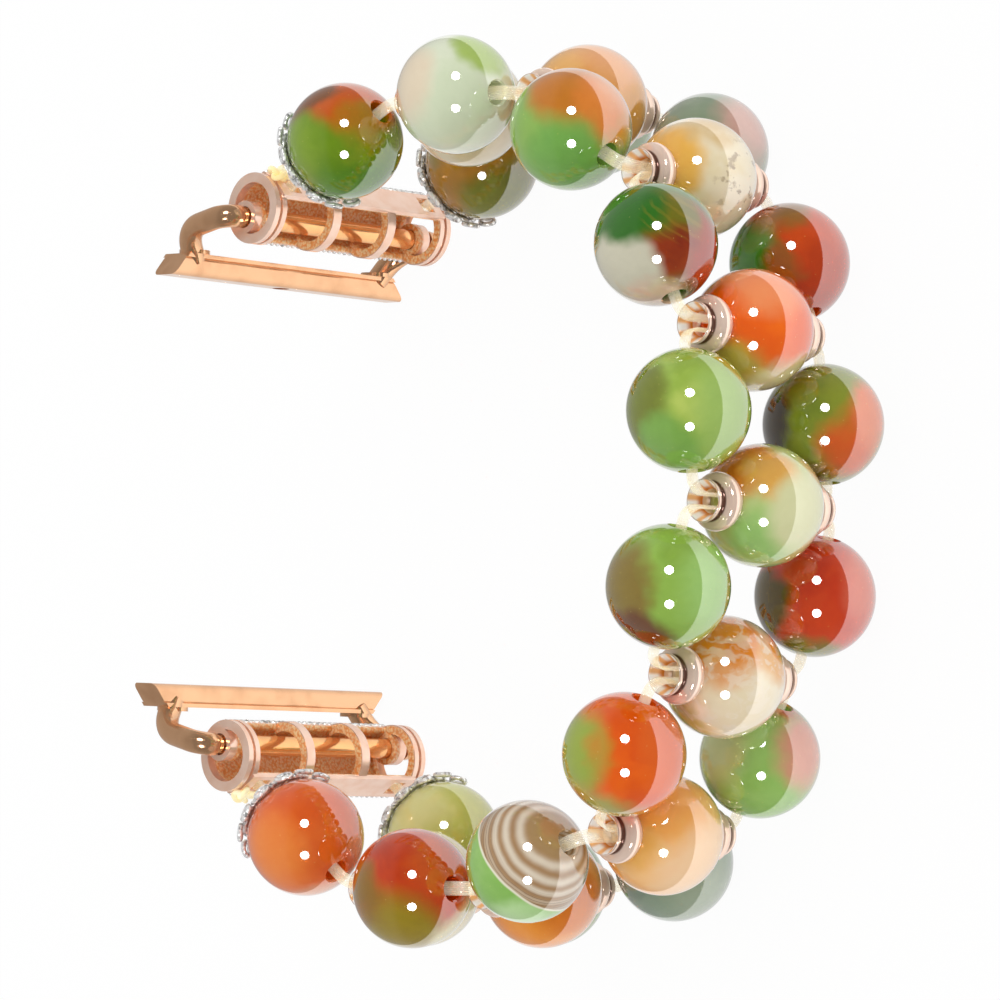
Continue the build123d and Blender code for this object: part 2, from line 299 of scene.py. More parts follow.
@dataclass(frozen=True)
class StudioRoom:
    """White room: a pale floor, even light on colours, and panels that show only in reflections.

    Attributes:
        left_way: Direction of the left panel, as picture right, picture up and towards the camera.
        left_span: Cosines from that direction at which the panel begins and is full. The other
            ways and spans are given the same way.
    """

    even_light: float = 0.95
    front: float = 0.1
    rim: float = 0.2
    depth_span: Span = (-1.0, 0.5)
    left_panel: float = 0.11
    left_way: Triple = (-0.936, 0.0, -0.35)
    left_span: Span = (0.1, 0.42)
    right_panel: float = 1.42
    right_edge: float = 0.44
    right_way: Triple = (0.778, 0.0, -0.628)
    right_span: Span = (0.39, 0.42)
    spot: float = 24.0
    spot_cos: float = 0.9896
    spot_edge: float = 0.001
    spot_lean: float = 0.52
    spot_depth: float = 0.854
    floor_size: float = 4.0
    floor_white: float = 0.9
    floor_glow: float = 0.96
    lamp_power: float = 1.0
    lamp_size: float = 0.5
    lamp_way: Triple = (-0.35, 0.75, 0.7)
    lamp_distance: float = 0.8

    def world(self) -> None:
        """Builds the world: white to the camera, even on colours, and panels in reflections."""
        world = bpy.data.worlds.new("room")
        bpy.context.scene.world = world
        world.use_nodes = True
        book = NodeBook(world.node_tree)
        way = book.make("ShaderNodeTexCoord", {}, {}, "Generated")

        def facing(toward: Triple, span: Span, smooth: bool = True) -> Value:
            """Share by which a ray goes towards a direction of the picture."""
            return book.dot(way, CAMERA.direction(*toward)).clear_of(*span, smooth)

        spot_span = (self.spot_cos, self.spot_cos + self.spot_edge)
        upper, lower = (facing((0, lean, self.spot_depth), spot_span) for lean in (self.spot_lean, -self.spot_lean))
        right, left = facing(self.right_way, self.right_span), facing(self.left_way, self.left_span)
        depth = facing((0, 0, 1), self.depth_span, False)
        panels = right * (self.right_edge + self.right_panel * depth) + left * self.left_panel
        mirror = panels + (upper + lower) * self.spot + self.front + (1 - depth) * self.rim
        seen, glossy = (book.make("ShaderNodeLightPath", {}, {}, ray) for ray in ("Is Camera Ray", "Is Glossy Ray"))
        strength = seen + (1 - seen) * (glossy * mirror + (1 - glossy) * self.even_light)
        shade = book.make("ShaderNodeBackground", {}, {"Color": (1, 1, 1, 1), "Strength": strength})
        book.make("ShaderNodeOutputWorld", {}, {"Surface": shade})
        world.cycles.sampling_method = "NONE"

    def floor(self) -> None:
        """Builds the pale floor that the band stands on."""
        mesh = bpy.data.meshes.new("floor")
        s = self.floor_size
        mesh.from_pydata([(-s, -s, 0), (s, -s, 0), (s, s, 0), (-s, s, 0)], [], [(0, 1, 2, 3)])
        floor = linked("floor", mesh)
        material = bpy.data.materials.new("pale_floor")
        material.use_nodes = True
        book = NodeBook(material.node_tree)
        seen = book.make("ShaderNodeLightPath", {}, {}, "Is Camera Ray")
        matt = book.make("ShaderNodeBsdfDiffuse", {}, {"Color": (*[self.floor_white] * 3, 1)})
        glow = book.make("ShaderNodeEmission", {}, {"Color": (1, 1, 1, 1), "Strength": 1.0})
        both = book.make("ShaderNodeMixShader", {}, {0: seen * self.floor_glow, 1: matt, 2: glow})
        book.make("ShaderNodeOutputMaterial", {}, {"Surface": both})
        mesh.materials.append(material)
        floor.visible_glossy = False

    def lamp(self) -> None:
        """Adds one large soft lamp from the upper left that isn't seen in reflections."""
        data = bpy.data.lights.new("soft_lamp", "AREA")
        data.shape, data.size, data.energy = "DISK", self.lamp_size, self.lamp_power
        lamp = linked("soft_lamp", data)
        toward = CAMERA.direction(*self.lamp_way)
        lamp.location = toward * self.lamp_distance
        lamp.rotation_mode = "QUATERNION"
        lamp.rotation_quaternion = (-toward).to_track_quat("-Z", "Y")
        lamp.visible_glossy = False

    def build(self) -> None:
        """Builds the whole room."""
        bpy.context.scene.view_settings.view_transform = "Standard"
        self.world()
        self.floor()
        self.lamp()


class Finish:
    """A material under construction, with its Principled shader."""

    def __init__(self, name: str) -> None:
        """Makes the empty material."""
        self.material = bpy.data.materials.new(name)
        self.material.use_nodes = True
        self.book = NodeBook(self.material.node_tree)

    def here(self, centre: Vector = Vector(), scale: float = 1.0) -> Value:
        """Object coordinates measured from a centre and scaled."""
        point = self.book.make("ShaderNodeTexCoord", {}, {}, "Object")
        return self.book.make("ShaderNodeMapping", {}, {0: point, 1: tuple(-centre * scale), 3: (scale,) * 3})

    def bump(self, height: Value, depth: float, strength: float = 1.0) -> Value:
        """Bump of a height map, its depth in metres."""
        return self.book.make("ShaderNodeBump", {}, {"Height": height, "Distance": depth, "Strength": strength})

    def clouded(self, colour: str, deep: str, scale: float = 420.0) -> Value:
        """A metal's colour with faint darker clouds."""
        cloud = self.book.noise(self.here(), scale)
        return self.book.mix(cloud.clear_of(0.4, 0.8) * 0.3, colour, deep)

    def close(self, **sockets: Any) -> bpy.types.Material:
        """Adds the Principled shader.

        Args:
            **sockets: Values or links of its sockets, spaces written as underscores.

        Returns:
            The finished material.
        """
        inputs = {key.replace("_", " "): value for key, value in sockets.items()}
        shade = self.book.make("ShaderNodeBsdfPrincipled", {}, inputs)
        self.book.make("ShaderNodeOutputMaterial", {}, {"Surface": shade})
        return self.material


class Figure(Enum):
    """Figure that a bead's stone shows."""

    CLOUD = "soft clouds"
    EYE = "rings round an eye"
    STREAKS = "fine slanting streaks"
    SWIRL = "milky swirls"
    MOSS = "brown moss specks"


@dataclass(frozen=True)
class EyeRings:
    """Smooth rings about an eye at a bead's upper right, on a disc inside a cream line.

    The spans are in 1 minus the cosine of the angle from the middle of the eye or of the disc.
    """

    eye: Triple = (0.46, 0.51, 0.73)
    disc: Triple = (0.586, 0.627, 0.513)
    pitch: float = 40.0
    phase: float = 1.2
    fine_pitch: float = 120.0
    fine_span: Span = (0.4, 0.66)
    pupil: Span = (0.16, 0.05)
    outer: Span = (0.46, 0.7)
    line: Span = (0.95, 0.92)
    rim: Span = (0.995, 0.955)

    def draw(self, book: NodeBook, colour: Value, point: Value) -> Value:
        """Lays the rings over a stone's colour.

        Args:
            book: Nodes of the material.
            colour: Colour of the stone so far.
            point: Place in the bead, in radii from its centre.

        Returns:
            The colour with the rings.
        """
        away, edge = (1 - book.dot(point, CAMERA.direction(*way)) for way in (self.eye, self.disc))
        rings = (away * self.pitch + self.phase).sine() * 0.5 + 0.5
        fine = (away * self.fine_pitch).sine().clear_of(0.75, 1.0) * away.clear_of(*self.fine_span)
        tone = book.mix(rings, "A88560", "DED0BC")
        tone = book.mix(away.clear_of(*self.outer) * 0.6, tone, "A07C50")
        tone = book.mix(fine * 0.8, tone, "5E3E20")
        tone = book.mix(away.clear_of(*self.pupil), tone, "A98A5C")
        stone = book.mix(edge.clear_of(*self.line), "EDE8D2", tone)
        return book.mix(edge.clear_of(*self.rim), colour, stone)


@dataclass(frozen=True)
class FineStreaks:
    """Fine faint golden streaks that slant down to the right, in the middle of a bead."""

    across: Triple = (0.62, 0.78, 0.1)
    pitch: float = 44.0
    waver: float = 6.0
    zone: Triple = (0.3, 0.4, 0.87)
    zone_span: Span = (0.84, 0.97)
    strength: float = 0.13

    def draw(self, book: NodeBook, colour: Value, point: Value) -> Value:
        """Lays the streaks over a stone's colour.

        Args:
            book: Nodes of the material.
            colour: Colour of the stone so far.
            point: Place in the bead, in radii from its centre.

        Returns:
            The colour with the streaks.
        """
        across = book.dot(point, CAMERA.direction(*self.across))
        lines = (across * self.pitch + book.noise(point, 0.9, 1.0) * self.waver).sine().clear_of(0.1, 1.0)
        zone = book.dot(point, CAMERA.direction(*self.zone)).clear_of(*self.zone_span)
        return book.mix(lines * zone * self.strength, colour, "C49A30")


@dataclass(frozen=True)
class Patch:
    """One cloud of colour in a bead.

    Attributes:
        colour: Hex colour.
        toward: Picture right, picture up and towards the camera, from the bead's centre.
        spread: Half angle that it covers, in degrees.
        soft: Width of its edge, in degrees.
    """

    colour: str
    toward: Triple
    spread: float
    soft: float


@dataclass(frozen=True)
class Agate:
    """Stone of one bead: a ground colour, clouds over it and a figure.

    Attributes:
        seed_step: How far a seed of 1 moves the clouds, in radii.
    """

    ground: str
    second: str
    patches: tuple[Patch, ...] = ()
    figure: Figure = Figure.CLOUD
    seed_step: Triple = (3.1, 1.7, 2.3)

    def paint(self, finish: Finish, centre: Vector, radius: float, seed: int) -> Value:
        """Colour of the stone.

        Args:
            finish: Material that the nodes go into.
            centre: Centre of the bead.
            radius: Its radius.
            seed: Number that sets its clouds apart from those of other beads.

        Returns:
            The colour at each point.
        """
        book = finish.book
        point = finish.here(centre, 1 / radius)
        shifted = book.vector("ADD", point, tuple(step * seed for step in self.seed_step))
        stir = book.vector("SUBTRACT", book.noise(shifted, 1.1, 3.0, 1), (0.5, 0.5, 0.5))
        warped = book.moved(point, stir, 0.45)
        cloud = book.noise(book.moved(shifted, stir, 1.2), 0.8).clear_of(0.42, 0.6)
        colour = book.mix(cloud, self.ground, self.second)
        for patch in self.patches:
            near = math.cos(math.radians(max(patch.spread - patch.soft, 1)))
            far = math.cos(math.radians(patch.spread + patch.soft))
            cover = book.dot(warped, CAMERA.direction(*patch.toward)).clear_of(far, near)
            colour = book.mix(cover, colour, patch.colour)
        if self.figure is Figure.EYE:
            colour = EyeRings().draw(book, colour, book.moved(point, stir, 0.09))
        elif self.figure is Figure.STREAKS:
            colour = FineStreaks().draw(book, colour, warped)
        elif self.figure is Figure.SWIRL:
            veins = book.noise(book.moved(shifted, stir, 2.6), 2.2, 3.0).clear_of(0.48, 0.6)
            colour = book.mix(veins * 0.5, colour, "F4E6D2")
        elif self.figure is Figure.MOSS:
            moss = book.noise(shifted, 5.5, 7.0).clear_of(0.56, 0.66)
            zone = book.dot(point, CAMERA.direction(0.86, -0.1, 0.5)).clear_of(0.6, 0.95)
            colour = book.mix(moss * zone * 0.7, colour, "7A5A3C")
        grain = book.noise(book.moved(shifted, stir, 1.5), 3.4, 3.0)
        colour = book.mix(0.16, colour, book.mix(grain, "5E4A2C", "FFF6DC"), "SOFT_LIGHT")
        # Painted glints: small pale yellow specks that stand in for light sparkling in the stone.
        painted_glints = (0.1 - book.cells(shifted, 7.5)).clear_of(0.045, 0.06)
        return book.mix(painted_glints * 0.5, colour, "F0DC7A")


def agate_material(name: str, stones: Sequence[tuple[Agate, Vector, int]], radius: float) -> bpy.types.Material:
    """Polished stone for a node of one bead, or of two beads one above the other.

    Args:
        name: The material's name.
        stones: Stone, centre and seed of each bead, the upper one first.
        radius: Radius of the beads.

    Returns:
        The material.
    """
    finish = Finish(name)
    book = finish.book
    colours = [stone.paint(finish, centre, radius, seed) for stone, centre, seed in stones]
    colour = colours[0]
    if len(colours) > 1:
        between = (stones[0][1] + stones[1][1]) / 2
        height = book.dot(finish.here(between, 1 / radius), (0, 0, 1))
        colour = book.mix(height.clear_of(-0.01, 0.01), colours[1], colours[0])
    grain = book.noise(finish.here(Vector(), 1 / radius), 9.0, 3.0)
    return finish.close(
        Base_Color=colour, Roughness=0.03 + grain * 0.05, IOR=1.72, Coat_Weight=1.0, Coat_IOR=1.6,
        Normal=finish.bump(grain, 0.003 * MM, 0.1),
    )


@dataclass(frozen=True)
class CastGold:
    """Rose gold plate over a casting: polished outside, grainy where the mould left it, with painted highlights on
    the grain's tops and painted shade between them.

    Attributes:
        polish: Least roughness of the cages.
        wire_polish: Least roughness of the bars, springs and rails.
        grain_loss: How much less metallic the grain is than the polished faces.
        wire_gain: How much more metallic the bars, springs and rails are.
        drawn: Drawing lines for each metre along X, Y and Z.
    """

    colour: str = "F8D6C2"
    # bright and deep colour the grain: a painted highlight on its tops and painted shade between them.
    bright: str = "FFDEAC"
    deep: str = "F0A058"
    polish: float = 0.12
    wire_polish: float = 0.1
    metallic: float = 0.5
    grain_loss: float = 0.4
    wire_gain: float = 0.25
    drawn: Triple = (9000.0, 9000.0, 900.0)
    grain_size: float = 0.24 * MM
    speck_size: float = 0.05 * MM

    def cage(self, name: str, axis: Vector, radius: float, end: float, wall: float) -> bpy.types.Material:
        """Finish of an end piece.

        Args:
            name: The material's name.
            axis: Middle of the cage on its axis.
            radius: Outer radius of the cage.
            end: Half its length.
            wall: Thickness of the end discs.

        Returns:
            The material.
        """
        finish = Finish(name)
        book = finish.book
        point = finish.here(axis)
        _, out, height = book.round_axis(point)
        skin = out.clear_of(radius - 0.14 * MM, radius - 0.06 * MM)
        high = (height * height).clear_of((end - wall * 0.75) ** 2, (end - wall * 0.5) ** 2)
        polished = skin.larger(high)
        grit = book.cells(point, 1 / self.grain_size)
        relief = (1 - polished) * (1 - grit) + book.noise(point, 1 / self.speck_size) * 0.04
        cloud = book.noise(point, 700.0)
        # Painted light on the grain: bright at the middle of each granule, deep where granules meet.
        grain_painted_light = book.mix(grit.clear_of(0.28, 0.75), self.bright, self.deep)
        colour = book.mix(polished, grain_painted_light, self.colour)
        colour = book.mix(cloud.clear_of(0.35, 0.7) * 0.3, colour, "E4A47E")
        return finish.close(
            Base_Color=colour, Metallic=polished * self.grain_loss + (self.metallic - self.grain_loss),
            Roughness=self.polish + (1 - polished) * 0.16 + cloud * 0.06,
            Normal=finish.bump(relief, 0.09 * MM, 0.6),
        )

    def turned(self, name: str, colour: str, deep: str) -> bpy.types.Material:
        """Finish of a polished bar, wire or rail, with faint drawing lines and clouds.

        Args:
            name: The material's name.
            colour: Colour where it is brightest.
            deep: Colour of its clouds.

        Returns:
            The material.
        """
        finish = Finish(name)
        book = finish.book
        lines = book.noise(book.vector("MULTIPLY", finish.here(), self.drawn), 1.0)
        return finish.close(
            Base_Color=finish.clouded(colour, deep), Metallic=self.metallic + self.wire_gain,
            Roughness=self.wire_polish + lines * 0.07, Normal=finish.bump(lines, 0.003 * MM, 0.6),
        )


@dataclass(frozen=True)
class FlutedGold:
    """Rose gold of the rondelles: polished outside, with painted shade in the groove and the throat and painted
    white highlights on the flutes in the mouths.

    Attributes:
        start: Height at which a mouth starts to widen, from the rondelle's centre.
        flare: How much it widens for each length outwards.
        mouth_edge: Distances outside the mouth's wall at which its finish begins and is full.
        throat_edge: Distances from the bore at which the painted shade of the throat begins and is full.
        groove_out: Distances from the axis at which the painted shade of the groove begins and is full.
        groove_up: Heights at which it begins and is full.
    """

    bore: float = 1.0 * MM
    start: float = 0.25 * MM
    flare: float = 0.62
    flutes: float = 8.0
    mouth_edge: Span = (0.08 * MM, 0.03 * MM)
    throat_edge: Span = (0.3 * MM, 0.02 * MM)
    groove_out: Span = (1.76 * MM, 1.6 * MM)
    groove_up: Span = (0.2 * MM, 0.36 * MM)
    metallic: float = 0.34
    polish: float = 0.07

    def build(self, name: str, centre: Vector, reach: float) -> bpy.types.Material:
        """Makes the material of a pair.

        Args:
            name: The material's name.
            centre: Middle of the pair on its upright axis.
            reach: Height of each rondelle's centre from there.

        Returns:
            The material.
        """
        finish = Finish(name)
        book = finish.book
        flat, out, height = book.round_axis(finish.here(centre))
        up = height.larger(height * -1.0) - reach
        x, y = (book.dot(flat, way) for way in ((1, 0, 0), (0, 1, 0)))
        angle = book.make("ShaderNodeMath", {"operation": "ARCTAN2"}, {0: y, 1: x})
        ribs = (angle * self.flutes).sine() * 0.5 + 0.5
        inside = (out - self.bore - (up - self.start) * self.flare).clear_of(*self.mouth_edge)
        # Painted shade: the groove is mixed towards near-black brown, and the throat by the bore towards dark
        # orange.
        groove = out.clear_of(*self.groove_out) * up.clear_of(*self.groove_up) * (1 - inside)
        throat = out.clear_of(*(self.bore + edge for edge in self.throat_edge))
        # Painted highlights: the flutes of the mouth are painted pale orange to white.
        mouth_painted_light = book.mix(throat, book.mix(ribs.clear_of(0.0, 0.85), "F6BC80", "FFFFFF"), "D07C2C")
        skin = book.mix(groove * 0.92, finish.clouded("FCE0CE", "EAB898"), "5E2A16")
        return finish.close(
            Base_Color=book.mix(inside, skin, mouth_painted_light), Metallic=self.metallic - inside * 0.28,
            Roughness=self.polish + inside * 0.1, Normal=finish.bump(ribs * inside, 0.05 * MM, 0.8),
        )


@dataclass(frozen=True)
class BrightSilver:
    """Bright white metal of the filigree and the rope trim, darker in small random clouds."""

    colour: str = "FFFFFF"
    dark: str = "34312E"
    metallic: float = 0.4

    def build(self, name: str) -> bpy.types.Material:
        """Makes the material.

        Args:
            name: Its name.

        Returns:
            The material.
        """
        finish = Finish(name)
        book = finish.book
        cloud = book.noise(finish.here(), 2400.0, 3.0)
        return finish.close(
            Base_Color=book.mix(cloud.clear_of(0.5, 0.64) * 0.62, self.colour, self.dark), Metallic=self.metallic,
            Roughness=0.14 + cloud * 0.12, Normal=finish.bump(cloud, 0.02 * MM, 0.5),
        )


@dataclass(frozen=True)
class ClearElastic:
    """Pale, milky elastic fibre, with a painted glow: a faint emission that makes it look lit inside."""

    colour: str = "FFF3D0"
    bright: str = "FFFCEE"
    clarity: float = 0.71
    painted_glow: float = 0.24

    def build(self, name: str) -> bpy.types.Material:
        """Makes the material.

        Args:
            name: Its name.

        Returns:
            The material.
        """
        finish = Finish(name)
        book = finish.book
        cloud = book.noise(finish.here(), 900.0)
        tone = book.mix(cloud.clear_of(0.35, 0.7), self.colour, self.bright)
        # Painted glow: the emission brightens the fibre as if light shone through it, though it is no lamp.
        return finish.close(
            Base_Color=tone, Roughness=0.12 + cloud * 0.15, IOR=1.5, Alpha=1 - self.clarity,
            Emission_Color=tone, Emission_Strength=self.painted_glow, Normal=finish.bump(cloud, 0.01 * MM, 0.4),
        )


class Recipe:
    """A Geometry Nodes tree with named sizes, run on a mesh of edges."""

    KINDS = {int: "NodeSocketInt", float: "NodeSocketFloat", tuple: "NodeSocketVector"}

    def __init__(self, name: str, sizes: dict[str, float | int | Triple]) -> None:
        """Starts the tree and its inputs.

        Args:
            name: The tree's name.
            sizes: Named sizes with their default values.
        """
        self.tree = bpy.data.node_groups.new(name, "GeometryNodeTree")
        self.book = NodeBook(self.tree)
        face = self.tree.interface
        face.new_socket("Paths", in_out="INPUT", socket_type="NodeSocketGeometry")
        kinds = {key: self.KINDS[type(value)] for key, value in sizes.items()}
        self.keys = {
            key: face.new_socket(key, in_out="INPUT", socket_type=kind).identifier
            for key, kind in {**kinds, "Material": "NodeSocketMaterial"}.items()
        }
        face.new_socket("Pieces", in_out="OUTPUT", socket_type="NodeSocketGeometry")
        self.sizes = sizes
        self.source = self.tree.nodes.new("NodeGroupInput")

    def size(self, key: str) -> Value:
        """The named input as a value."""
        return Value(self.book, self.source.outputs[key])

    def curves(self) -> Value:
        """The paths as curves."""
        return self.book.make("GeometryNodeMeshToCurve", {}, {0: self.size("Paths")})

    def copies(self, amount: str) -> tuple[Value, Value]:
        """Copies of the paths in even steps, and the number of each copy.

        Args:
            amount: Named size that says how many.

        Returns:
            The curves, and their numbers from 0.
        """
        book = self.book
        steps = {0: self.curves(), "Length": self.size("Step")}
        even = book.make("GeometryNodeResampleCurve", {"mode": "LENGTH"}, steps)
        copies = {0: even, "Amount": self.size(amount)}
        made = book.make("GeometryNodeDuplicateElements", {"domain": "SPLINE"}, copies)
        return made, Value(book, made.socket.node.outputs["Duplicate Index"])

    def shifted(self, curve: Value, offset: Value) -> Value:
        """Curves with their points moved by an offset."""
        return self.book.make("GeometryNodeSetPosition", {}, {0: curve, "Offset": offset})

    def sweep(self, curve: Value, radius: str, sides: int = 8) -> None:
        """Sweeps a round section along the curve, and ends the tree.

        Args:
            curve: Curves to follow.
            radius: Named size that is the section's radius.
            sides: Sides of the section.
        """
        book = self.book
        section = {"Resolution": sides, "Radius": self.size(radius)}
        ring = book.make("GeometryNodeCurvePrimitiveCircle", {"mode": "RADIUS"}, section)
        tube = book.make("GeometryNodeCurveToMesh", {}, {0: curve, 1: ring, "Fill Caps": True})
        smooth = book.make("GeometryNodeSetShadeSmooth", {}, {0: tube})
        real = book.make("GeometryNodeRealizeInstances", {}, {0: smooth})
        dressed = book.make("GeometryNodeSetMaterial", {}, {0: real, "Material": self.size("Material")})
        self.tree.links.new(dressed.socket, self.tree.nodes.new("NodeGroupOutput").inputs[0])

    def run(self, name: str, paths: Sequence[Sequence[Vector]], closed: bool, material: bpy.types.Material,
            **sizes: Any) -> bpy.types.Object:
        """Runs the tree on paths and keeps the result as a plain mesh.

        Args:
            name: Name of the finished piece.
            paths: Points of each path.
            closed: Whether the paths close on themselves.
            material: Its material.
            **sizes: Values of the named sizes, spaces written as underscores.

        Returns:
            The piece, at the origin and with no modifier.
        """
        points: list[Vector] = []
        edges: list[tuple[int, int]] = []
        for path in paths:
            first = len(points)
            points.extend(path)
            edges.extend((first + i, first + i + 1) for i in range(len(path) - 1))
            if closed:
                edges.append((len(points) - 1, first))
        mesh = bpy.data.meshes.new(name)
        mesh.from_pydata(points, edges, [])
        host = linked(name + "_paths", mesh)
        modifier = host.modifiers.new("recipe", "NODES")
        modifier.node_group = self.tree
        given = {key.replace("_", " "): value for key, value in sizes.items()}
        for key, value in {**self.sizes, **given, "Material": material}.items():
            modifier[self.keys[key]] = value
        graph = bpy.context.evaluated_depsgraph_get()
        made = bpy.data.meshes.new_from_object(host.evaluated_get(graph), depsgraph=graph)
        bpy.data.objects.remove(host)
        if not made.materials:
            made.materials.append(material)
        return linked(name, made)


def wire_recipe() -> Recipe:
    """Plain wires along the paths.

    Returns:
        The recipe.
    """
    recipe = Recipe("plain_wire", {"Wire Radius": 0.2 * MM})
    recipe.sweep(recipe.curves(), "Wire Radius")
    return recipe


def rope_recipe() -> Recipe:
    """Twisted rope along the paths: strands that wind about them at a steady pitch.

    Returns:
        The recipe.
    """
    recipe = Recipe(
        "twisted_rope",
        {"Strand Radius": 0.18 * MM, "Lay Radius": 0.17 * MM, "Pitch": 1.3 * MM, "Strands": 2, "Step": 0.09 * MM},
    )
    book = recipe.book
    copies, number = recipe.copies("Strands")
    along = book.make("GeometryNodeSplineParameter", {}, {}, "Length")
    angle = (along / recipe.size("Pitch") + number / recipe.size("Strands")) * FULL_TURN
    normal, tangent = (book.make(f"GeometryNodeInput{kind}", {}, {}) for kind in ("Normal", "Tangent"))
    side = book.vector("CROSS_PRODUCT", tangent, normal)
    out = book.moved(book.scaled(normal, angle.cosine()), side, angle.sine())
    recipe.sweep(recipe.shifted(copies, book.scaled(out, recipe.size("Lay Radius"))), "Strand Radius", 6)
    return recipe


def fibre_recipe() -> Recipe:
    """Flat bundle of parallel fibres along the paths.

    Returns:
        The recipe.
    """
    recipe = Recipe(
        "flat_bundle",
        {"Fibre Radius": 0.1 * MM, "Spacing": 0.17 * MM, "Fibres": 7, "Across": (0.0, 0.0, 1.0), "Step": 0.6 * MM},
    )
    copies, number = recipe.copies("Fibres")
    places = (number - (recipe.size("Fibres") - 1) / 2) * recipe.size("Spacing")
    offset = recipe.book.scaled(recipe.size("Across"), places)
    recipe.sweep(recipe.shifted(copies, offset), "Fibre Radius", 6)
    return recipe


def rosette_recipe() -> Recipe:
    """Copies of a petal's wires, turned round the Z axis.

    Returns:
        The recipe.
    """
    recipe = Recipe("petal_round", {"Petals": 6, "Wire Radius": 0.2 * MM})
    book = recipe.book
    spots = book.make("GeometryNodePoints", {}, {"Count": recipe.size("Petals")})
    index = book.make("GeometryNodeInputIndex", {}, {})
    turn = book.make("ShaderNodeCombineXYZ", {}, {2: index * FULL_TURN / recipe.size("Petals")})
    petals = {0: spots, "Instance": recipe.curves(), "Rotation": turn}
    copies = book.make("GeometryNodeInstanceOnPoints", {}, petals)
    recipe.sweep(book.make("GeometryNodeRealizeInstances", {}, {0: copies}), "Wire Radius")
    return recipe


def joint_place(name: str) -> Vector:
    """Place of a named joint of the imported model."""
    found = next(j for j in frame["joints"] if j["name"] == name)
    return Vector(found["pos_m"])


def middle(node: str) -> Vector:
    """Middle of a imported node's box."""
    low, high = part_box(node)
    return (low + high) / 2


def dress(node: str, material: bpy.types.Material) -> None:
    """Gives a carried-over node its finish.

    Args:
        node: The node's name.
        material: Its finish.
    """
    mesh = frame["nodes"][node].data
    mesh.materials.clear()
    mesh.materials.append(material)


class BandPlan:
    """Places of the links and pivots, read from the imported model."""

    LINKS = 10

    def __init__(self) -> None:
        """Reads the pivots, the bead centres and the links' directions."""
        names = ["upper_bar_hinge"] + [f"band_hinge_{k:02d}" for k in range(1, self.LINKS)] + ["lower_bar_hinge"]
        self.pivots = [joint_place(name) for name in names]
        low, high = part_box("cross_bead_01")
        self.radius = (high.x - low.x) / 2
        self.near = {k: middle(f"near_bead_{k:02d}") for k in range(2, self.LINKS)}
        self.far = {k: middle(f"far_bead_{k:02d}") for k in range(2, self.LINKS)}
        self.cross = {k: middle(f"cross_bead_{k:02d}") for k in range(1, self.LINKS)}
        for k, place in ((1, "top"), (self.LINKS, "bottom")):
            low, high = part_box(f"end_beads_{place}")
            both = (low + high) / 2
            self.near[k] = Vector((both.x, both.y, high.z - self.radius))
            self.far[k] = Vector((both.x, both.y, low.z + self.radius))

    def centre(self, k: int) -> Vector:
        """Centre of a link, between its two beads."""
        return (self.near[k] + self.far[k]) / 2

    def heading(self, k: int) -> Vector:
        """Direction of a link along the band.

        Args:
            k: Number of the link.

        Returns:
            The direction, as a level unit vector.
        """
        way = self.pivots[k] - self.centre(k)
        way.z = 0
        return way.normalized()

    def row_half(self, k: int) -> float:
        """Half the distance between a link's two beads."""
        return (self.near[k].z - self.far[k].z) / 2


